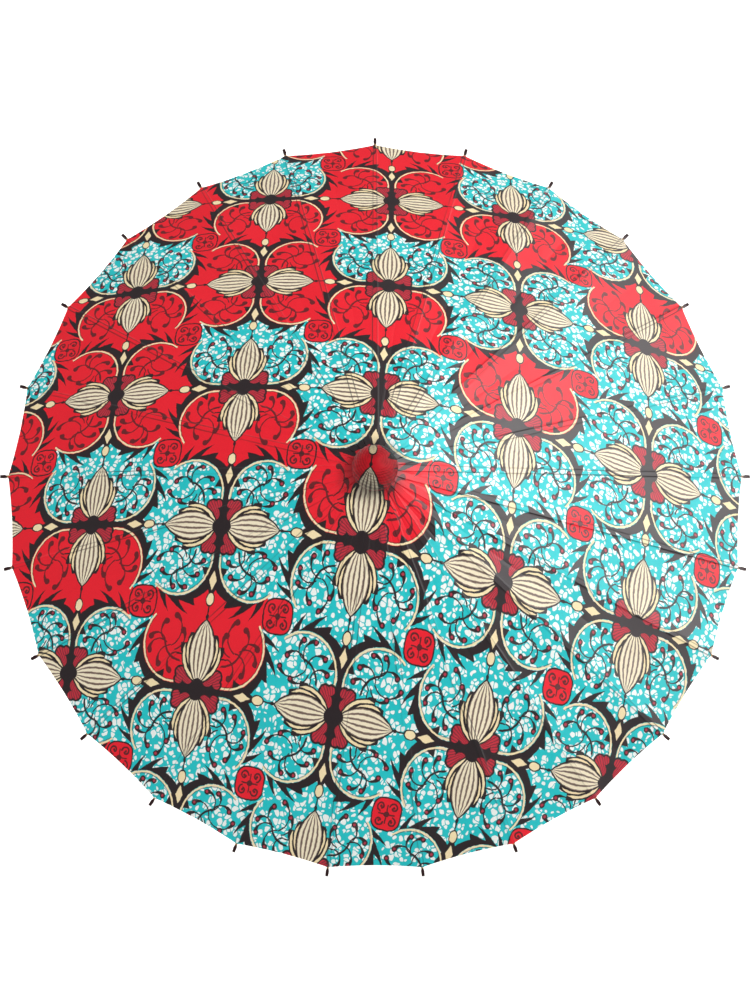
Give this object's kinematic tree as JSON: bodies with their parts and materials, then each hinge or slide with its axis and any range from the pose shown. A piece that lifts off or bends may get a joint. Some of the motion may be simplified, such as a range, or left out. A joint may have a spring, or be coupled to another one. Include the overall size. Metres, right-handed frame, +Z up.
{
  "type": "oil paper parasol",
  "caption": "Open folding parasol: printed paper canopy on straight bamboo ribs, slotted hub and sliding runner, stretchers, spring catch, rounded cap, pole and turned handle.",
  "frame": {"origin": "centre of the flat end of the handle", "axes": "+Z up the pole towards the cap; +Y along the first rib"},
  "size_m": [0.8338, 0.8321, 0.559],
  "materials": {
    "canopy_paper": "printed, lightly oiled, slightly glossy",
    "cap_cloth": "printed red cloth drawn over a knob",
    "rib_bamboo": "split bamboo, satin, dark red stained outer end",
    "stretcher_bamboo": "split bamboo, satin",
    "turned_wood": "pale turned wood, satin",
    "pole_wood": "straight grained, lacquered",
    "handle_wood": "dark stained, lacquered",
    "wire": "drawn wire",
    "catch_metal": "bent spring strip"
  },
  "bodies": {
    "pole_frame": {"pole": "pole_wood", "upper_hub": "turned_wood", "hub_wire": "wire", "top_cap": "cap_cloth", "handle": "handle_wood", "canopy": "canopy_paper"},
    "rib_01": {"rib_01": "rib_bamboo"},
    "stretcher_01": {"stretcher_01": "stretcher_bamboo"},
    "rib_02": {"rib_02": "rib_bamboo"},
    "stretcher_02": {"stretcher_02": "stretcher_bamboo"},
    "rib_03": {"rib_03": "rib_bamboo"},
    "stretcher_03": {"stretcher_03": "stretcher_bamboo"},
    "rib_04": {"rib_04": "rib_bamboo"},
    "stretcher_04": {"stretcher_04": "stretcher_bamboo"},
    "rib_05": {"rib_05": "rib_bamboo"},
    "stretcher_05": {"stretcher_05": "stretcher_bamboo"},
    "rib_06": {"rib_06": "rib_bamboo"},
    "stretcher_06": {"stretcher_06": "stretcher_bamboo"},
    "rib_07": {"rib_07": "rib_bamboo"},
    "stretcher_07": {"stretcher_07": "stretcher_bamboo"},
    "rib_08": {"rib_08": "rib_bamboo"},
    "stretcher_08": {"stretcher_08": "stretcher_bamboo"},
    "rib_09": {"rib_09": "rib_bamboo"},
    "stretcher_09": {"stretcher_09": "stretcher_bamboo"},
    "rib_10": {"rib_10": "rib_bamboo"},
    "stretcher_10": {"stretcher_10": "stretcher_bamboo"},
    "rib_11": {"rib_11": "rib_bamboo"},
    "stretcher_11": {"stretcher_11": "stretcher_bamboo"},
    "rib_12": {"rib_12": "rib_bamboo"},
    "stretcher_12": {"stretcher_12": "stretcher_bamboo"},
    "rib_13": {"rib_13": "rib_bamboo"},
    "stretcher_13": {"stretcher_13": "stretcher_bamboo"},
    "rib_14": {"rib_14": "rib_bamboo"},
    "stretcher_14": {"stretcher_14": "stretcher_bamboo"},
    "rib_15": {"rib_15": "rib_bamboo"},
    "stretcher_15": {"stretcher_15": "stretcher_bamboo"},
    "rib_16": {"rib_16": "rib_bamboo"},
    "stretcher_16": {"stretcher_16": "stretcher_bamboo"},
    "rib_17": {"rib_17": "rib_bamboo"},
    "stretcher_17": {"stretcher_17": "stretcher_bamboo"},
    "rib_18": {"rib_18": "rib_bamboo"},
    "stretcher_18": {"stretcher_18": "stretcher_bamboo"},
    "rib_19": {"rib_19": "rib_bamboo"},
    "stretcher_19": {"stretcher_19": "stretcher_bamboo"},
    "rib_20": {"rib_20": "rib_bamboo"},
    "stretcher_20": {"stretcher_20": "stretcher_bamboo"},
    "rib_21": {"rib_21": "rib_bamboo"},
    "stretcher_21": {"stretcher_21": "stretcher_bamboo"},
    "rib_22": {"rib_22": "rib_bamboo"},
    "stretcher_22": {"stretcher_22": "stretcher_bamboo"},
    "rib_23": {"rib_23": "rib_bamboo"},
    "stretcher_23": {"stretcher_23": "stretcher_bamboo"},
    "rib_24": {"rib_24": "rib_bamboo"},
    "stretcher_24": {"stretcher_24": "stretcher_bamboo"},
    "rib_25": {"rib_25": "rib_bamboo"},
    "stretcher_25": {"stretcher_25": "stretcher_bamboo"},
    "runner": {"runner": "turned_wood", "runner_wire": "wire"},
    "catch": {"catch_spring": "catch_metal"}
  },
  "joints": [
    {"name": "canopy_fold", "type": "hinge", "parent": "pole_frame", "child": "rib_01", "pos_m": [0, 0.0185, 0.528], "axis": [-1, 0, 0], "range_deg": [0, 62], "deforming": ["canopy", "catch_spring"]},
    {"name": "rib_02_hinge", "type": "hinge", "parent": "pole_frame", "child": "rib_02", "pos_m": [-0.0046, 0.01792, 0.528], "axis": [-0.9686, -0.2487, 0], "range_deg": [0, 62]},
    {"name": "rib_03_hinge", "type": "hinge", "parent": "pole_frame", "child": "rib_03", "pos_m": [-0.00891, 0.01621, 0.528], "axis": [-0.8763, -0.4818, 0], "range_deg": [0, 62]},
    {"name": "rib_04_hinge", "type": "hinge", "parent": "pole_frame", "child": "rib_04", "pos_m": [-0.01266, 0.01349, 0.528], "axis": [-0.729, -0.6845, 0], "range_deg": [0, 62]},
    {"name": "rib_05_hinge", "type": "hinge", "parent": "pole_frame", "child": "rib_05", "pos_m": [-0.01562, 0.00991, 0.528], "axis": [-0.5358, -0.8443, 0], "range_deg": [0, 62]},
    {"name": "rib_06_hinge", "type": "hinge", "parent": "pole_frame", "child": "rib_06", "pos_m": [-0.01759, 0.00572, 0.528], "axis": [-0.309, -0.9511, 0], "range_deg": [0, 62]},
    {"name": "rib_07_hinge", "type": "hinge", "parent": "pole_frame", "child": "rib_07", "pos_m": [-0.01846, 0.00116, 0.528], "axis": [-0.0628, -0.998, 0], "range_deg": [0, 62]},
    {"name": "rib_08_hinge", "type": "hinge", "parent": "pole_frame", "child": "rib_08", "pos_m": [-0.01817, -0.00347, 0.528], "axis": [0.1874, -0.9823, 0], "range_deg": [0, 62]},
    {"name": "rib_09_hinge", "type": "hinge", "parent": "pole_frame", "child": "rib_09", "pos_m": [-0.01674, -0.00788, 0.528], "axis": [0.4258, -0.9048, 0], "range_deg": [0, 62]},
    {"name": "rib_10_hinge", "type": "hinge", "parent": "pole_frame", "child": "rib_10", "pos_m": [-0.01425, -0.01179, 0.528], "axis": [0.6374, -0.7705, 0], "range_deg": [0, 62]},
    {"name": "rib_11_hinge", "type": "hinge", "parent": "pole_frame", "child": "rib_11", "pos_m": [-0.01087, -0.01497, 0.528], "axis": [0.809, -0.5878, 0], "range_deg": [0, 62]},
    {"name": "rib_12_hinge", "type": "hinge", "parent": "pole_frame", "child": "rib_12", "pos_m": [-0.00681, -0.0172, 0.528], "axis": [0.9298, -0.3681, 0], "range_deg": [0, 62]},
    {"name": "rib_13_hinge", "type": "hinge", "parent": "pole_frame", "child": "rib_13", "pos_m": [-0.00232, -0.01835, 0.528], "axis": [0.9921, -0.1253, 0], "range_deg": [0, 62]},
    {"name": "rib_14_hinge", "type": "hinge", "parent": "pole_frame", "child": "rib_14", "pos_m": [0.00232, -0.01835, 0.528], "axis": [0.9921, 0.1253, 0], "range_deg": [0, 62]},
    {"name": "rib_15_hinge", "type": "hinge", "parent": "pole_frame", "child": "rib_15", "pos_m": [0.00681, -0.0172, 0.528], "axis": [0.9298, 0.3681, 0], "range_deg": [0, 62]},
    {"name": "rib_16_hinge", "type": "hinge", "parent": "pole_frame", "child": "rib_16", "pos_m": [0.01087, -0.01497, 0.528], "axis": [0.809, 0.5878, 0], "range_deg": [0, 62]},
    {"name": "rib_17_hinge", "type": "hinge", "parent": "pole_frame", "child": "rib_17", "pos_m": [0.01425, -0.01179, 0.528], "axis": [0.6374, 0.7705, 0], "range_deg": [0, 62]},
    {"name": "rib_18_hinge", "type": "hinge", "parent": "pole_frame", "child": "rib_18", "pos_m": [0.01674, -0.00788, 0.528], "axis": [0.4258, 0.9048, 0], "range_deg": [0, 62]},
    {"name": "rib_19_hinge", "type": "hinge", "parent": "pole_frame", "child": "rib_19", "pos_m": [0.01817, -0.00347, 0.528], "axis": [0.1874, 0.9823, 0], "range_deg": [0, 62]},
    {"name": "rib_20_hinge", "type": "hinge", "parent": "pole_frame", "child": "rib_20", "pos_m": [0.01846, 0.00116, 0.528], "axis": [-0.0628, 0.998, 0], "range_deg": [0, 62]},
    {"name": "rib_21_hinge", "type": "hinge", "parent": "pole_frame", "child": "rib_21", "pos_m": [0.01759, 0.00572, 0.528], "axis": [-0.309, 0.9511, 0], "range_deg": [0, 62]},
    {"name": "rib_22_hinge", "type": "hinge", "parent": "pole_frame", "child": "rib_22", "pos_m": [0.01562, 0.00991, 0.528], "axis": [-0.5358, 0.8443, 0], "range_deg": [0, 62]},
    {"name": "rib_23_hinge", "type": "hinge", "parent": "pole_frame", "child": "rib_23", "pos_m": [0.01266, 0.01349, 0.528], "axis": [-0.729, 0.6845, 0], "range_deg": [0, 62]},
    {"name": "rib_24_hinge", "type": "hinge", "parent": "pole_frame", "child": "rib_24", "pos_m": [0.00891, 0.01621, 0.528], "axis": [-0.8763, 0.4818, 0], "range_deg": [0, 62]},
    {"name": "rib_25_hinge", "type": "hinge", "parent": "pole_frame", "child": "rib_25", "pos_m": [0.0046, 0.01792, 0.528], "axis": [-0.9686, 0.2487, 0], "range_deg": [0, 62]},
    {"name": "stretcher_01_hinge", "type": "hinge", "parent": "rib_01", "child": "stretcher_01", "pos_m": [0, 0.18889, 0.44855], "axis": [-1, 0, 0], "range_deg": [-124, 0]},
    {"name": "stretcher_02_hinge", "type": "hinge", "parent": "rib_02", "child": "stretcher_02", "pos_m": [-0.04697, 0.18295, 0.44855], "axis": [-0.9686, -0.2487, 0], "range_deg": [-124, 0]},
    {"name": "stretcher_03_hinge", "type": "hinge", "parent": "rib_03", "child": "stretcher_03", "pos_m": [-0.091, 0.16552, 0.44855], "axis": [-0.8763, -0.4818, 0], "range_deg": [-124, 0]},
    {"name": "stretcher_04_hinge", "type": "hinge", "parent": "rib_04", "child": "stretcher_04", "pos_m": [-0.1293, 0.13769, 0.44855], "axis": [-0.729, -0.6845, 0], "range_deg": [-124, 0]},
    {"name": "stretcher_05_hinge", "type": "hinge", "parent": "rib_05", "child": "stretcher_05", "pos_m": [-0.15948, 0.10121, 0.44855], "axis": [-0.5358, -0.8443, 0], "range_deg": [-124, 0]},
    {"name": "stretcher_06_hinge", "type": "hinge", "parent": "rib_06", "child": "stretcher_06", "pos_m": [-0.17964, 0.05837, 0.44855], "axis": [-0.309, -0.9511, 0], "range_deg": [-124, 0]},
    {"name": "stretcher_07_hinge", "type": "hinge", "parent": "rib_07", "child": "stretcher_07", "pos_m": [-0.18851, 0.01186, 0.44855], "axis": [-0.0628, -0.998, 0], "range_deg": [-124, 0]},
    {"name": "stretcher_08_hinge", "type": "hinge", "parent": "rib_08", "child": "stretcher_08", "pos_m": [-0.18554, -0.03539, 0.44855], "axis": [0.1874, -0.9823, 0], "range_deg": [-124, 0]},
    {"name": "stretcher_09_hinge", "type": "hinge", "parent": "rib_09", "child": "stretcher_09", "pos_m": [-0.17091, -0.08042, 0.44855], "axis": [0.4258, -0.9048, 0], "range_deg": [-124, 0]},
    {"name": "stretcher_10_hinge", "type": "hinge", "parent": "rib_10", "child": "stretcher_10", "pos_m": [-0.14554, -0.1204, 0.44855], "axis": [0.6374, -0.7705, 0], "range_deg": [-124, 0]},
    {"name": "stretcher_11_hinge", "type": "hinge", "parent": "rib_11", "child": "stretcher_11", "pos_m": [-0.11102, -0.15281, 0.44855], "axis": [0.809, -0.5878, 0], "range_deg": [-124, 0]},
    {"name": "stretcher_12_hinge", "type": "hinge", "parent": "rib_12", "child": "stretcher_12", "pos_m": [-0.06953, -0.17562, 0.44855], "axis": [0.9298, -0.3681, 0], "range_deg": [-124, 0]},
    {"name": "stretcher_13_hinge", "type": "hinge", "parent": "rib_13", "child": "stretcher_13", "pos_m": [-0.02367, -0.1874, 0.44855], "axis": [0.9921, -0.1253, 0], "range_deg": [-124, 0]},
    {"name": "stretcher_14_hinge", "type": "hinge", "parent": "rib_14", "child": "stretcher_14", "pos_m": [0.02367, -0.1874, 0.44855], "axis": [0.9921, 0.1253, 0], "range_deg": [-124, 0]},
    {"name": "stretcher_15_hinge", "type": "hinge", "parent": "rib_15", "child": "stretcher_15", "pos_m": [0.06953, -0.17562, 0.44855], "axis": [0.9298, 0.3681, 0], "range_deg": [-124, 0]},
    {"name": "stretcher_16_hinge", "type": "hinge", "parent": "rib_16", "child": "stretcher_16", "pos_m": [0.11102, -0.15281, 0.44855], "axis": [0.809, 0.5878, 0], "range_deg": [-124, 0]},
    {"name": "stretcher_17_hinge", "type": "hinge", "parent": "rib_17", "child": "stretcher_17", "pos_m": [0.14554, -0.1204, 0.44855], "axis": [0.6374, 0.7705, 0], "range_deg": [-124, 0]},
    {"name": "stretcher_18_hinge", "type": "hinge", "parent": "rib_18", "child": "stretcher_18", "pos_m": [0.17091, -0.08042, 0.44855], "axis": [0.4258, 0.9048, 0], "range_deg": [-124, 0]},
    {"name": "stretcher_19_hinge", "type": "hinge", "parent": "rib_19", "child": "stretcher_19", "pos_m": [0.18554, -0.03539, 0.44855], "axis": [0.1874, 0.9823, 0], "range_deg": [-124, 0]},
    {"name": "stretcher_20_hinge", "type": "hinge", "parent": "rib_20", "child": "stretcher_20", "pos_m": [0.18851, 0.01186, 0.44855], "axis": [-0.0628, 0.998, 0], "range_deg": [-124, 0]},
    {"name": "stretcher_21_hinge", "type": "hinge", "parent": "rib_21", "child": "stretcher_21", "pos_m": [0.17964, 0.05837, 0.44855], "axis": [-0.309, 0.9511, 0], "range_deg": [-124, 0]},
    {"name": "stretcher_22_hinge", "type": "hinge", "parent": "rib_22", "child": "stretcher_22", "pos_m": [0.15948, 0.10121, 0.44855], "axis": [-0.5358, 0.8443, 0], "range_deg": [-124, 0]},
    {"name": "stretcher_23_hinge", "type": "hinge", "parent": "rib_23", "child": "stretcher_23", "pos_m": [0.1293, 0.13769, 0.44855], "axis": [-0.729, 0.6845, 0], "range_deg": [-124, 0]},
    {"name": "stretcher_24_hinge", "type": "hinge", "parent": "rib_24", "child": "stretcher_24", "pos_m": [0.091, 0.16552, 0.44855], "axis": [-0.8763, 0.4818, 0], "range_deg": [-124, 0]},
    {"name": "stretcher_25_hinge", "type": "hinge", "parent": "rib_25", "child": "stretcher_25", "pos_m": [0.04697, 0.18295, 0.44855], "axis": [-0.9686, 0.2487, 0], "range_deg": [-124, 0]},
    {"name": "runner_lift", "type": "hinge", "parent": "stretcher_01", "child": "runner", "pos_m": [0, 0.0185, 0.3691], "axis": [-1, 0, 0], "range_deg": [0, 62]},
    {"name": "catch_press", "type": "hinge", "parent": "pole_frame", "child": "catch", "pos_m": [0, -0.0038, 0.2971], "axis": [-1, 0, 0], "range_deg": [0, 9], "stiffness_Nm_per_rad": 0.4, "springref_deg": -2.86}
  ],
  "couplings": [
    {"joint": "rib_02_hinge", "follows": "canopy_fold", "ratio": 1},
    {"joint": "rib_03_hinge", "follows": "canopy_fold", "ratio": 1},
    {"joint": "rib_04_hinge", "follows": "canopy_fold", "ratio": 1},
    {"joint": "rib_05_hinge", "follows": "canopy_fold", "ratio": 1},
    {"joint": "rib_06_hinge", "follows": "canopy_fold", "ratio": 1},
    {"joint": "rib_07_hinge", "follows": "canopy_fold", "ratio": 1},
    {"joint": "rib_08_hinge", "follows": "canopy_fold", "ratio": 1},
    {"joint": "rib_09_hinge", "follows": "canopy_fold", "ratio": 1},
    {"joint": "rib_10_hinge", "follows": "canopy_fold", "ratio": 1},
    {"joint": "rib_11_hinge", "follows": "canopy_fold", "ratio": 1},
    {"joint": "rib_12_hinge", "follows": "canopy_fold", "ratio": 1},
    {"joint": "rib_13_hinge", "follows": "canopy_fold", "ratio": 1},
    {"joint": "rib_14_hinge", "follows": "canopy_fold", "ratio": 1},
    {"joint": "rib_15_hinge", "follows": "canopy_fold", "ratio": 1},
    {"joint": "rib_16_hinge", "follows": "canopy_fold", "ratio": 1},
    {"joint": "rib_17_hinge", "follows": "canopy_fold", "ratio": 1},
    {"joint": "rib_18_hinge", "follows": "canopy_fold", "ratio": 1},
    {"joint": "rib_19_hinge", "follows": "canopy_fold", "ratio": 1},
    {"joint": "rib_20_hinge", "follows": "canopy_fold", "ratio": 1},
    {"joint": "rib_21_hinge", "follows": "canopy_fold", "ratio": 1},
    {"joint": "rib_22_hinge", "follows": "canopy_fold", "ratio": 1},
    {"joint": "rib_23_hinge", "follows": "canopy_fold", "ratio": 1},
    {"joint": "rib_24_hinge", "follows": "canopy_fold", "ratio": 1},
    {"joint": "rib_25_hinge", "follows": "canopy_fold", "ratio": 1},
    {"joint": "stretcher_01_hinge", "follows": "canopy_fold", "ratio": -2},
    {"joint": "stretcher_02_hinge", "follows": "canopy_fold", "ratio": -2},
    {"joint": "stretcher_03_hinge", "follows": "canopy_fold", "ratio": -2},
    {"joint": "stretcher_04_hinge", "follows": "canopy_fold", "ratio": -2},
    {"joint": "stretcher_05_hinge", "follows": "canopy_fold", "ratio": -2},
    {"joint": "stretcher_06_hinge", "follows": "canopy_fold", "ratio": -2},
    {"joint": "stretcher_07_hinge", "follows": "canopy_fold", "ratio": -2},
    {"joint": "stretcher_08_hinge", "follows": "canopy_fold", "ratio": -2},
    {"joint": "stretcher_09_hinge", "follows": "canopy_fold", "ratio": -2},
    {"joint": "stretcher_10_hinge", "follows": "canopy_fold", "ratio": -2},
    {"joint": "stretcher_11_hinge", "follows": "canopy_fold", "ratio": -2},
    {"joint": "stretcher_12_hinge", "follows": "canopy_fold", "ratio": -2},
    {"joint": "stretcher_13_hinge", "follows": "canopy_fold", "ratio": -2},
    {"joint": "stretcher_14_hinge", "follows": "canopy_fold", "ratio": -2},
    {"joint": "stretcher_15_hinge", "follows": "canopy_fold", "ratio": -2},
    {"joint": "stretcher_16_hinge", "follows": "canopy_fold", "ratio": -2},
    {"joint": "stretcher_17_hinge", "follows": "canopy_fold", "ratio": -2},
    {"joint": "stretcher_18_hinge", "follows": "canopy_fold", "ratio": -2},
    {"joint": "stretcher_19_hinge", "follows": "canopy_fold", "ratio": -2},
    {"joint": "stretcher_20_hinge", "follows": "canopy_fold", "ratio": -2},
    {"joint": "stretcher_21_hinge", "follows": "canopy_fold", "ratio": -2},
    {"joint": "stretcher_22_hinge", "follows": "canopy_fold", "ratio": -2},
    {"joint": "stretcher_23_hinge", "follows": "canopy_fold", "ratio": -2},
    {"joint": "stretcher_24_hinge", "follows": "canopy_fold", "ratio": -2},
    {"joint": "stretcher_25_hinge", "follows": "canopy_fold", "ratio": -2},
    {"joint": "runner_lift", "follows": "canopy_fold", "ratio": 1}
  ]
}
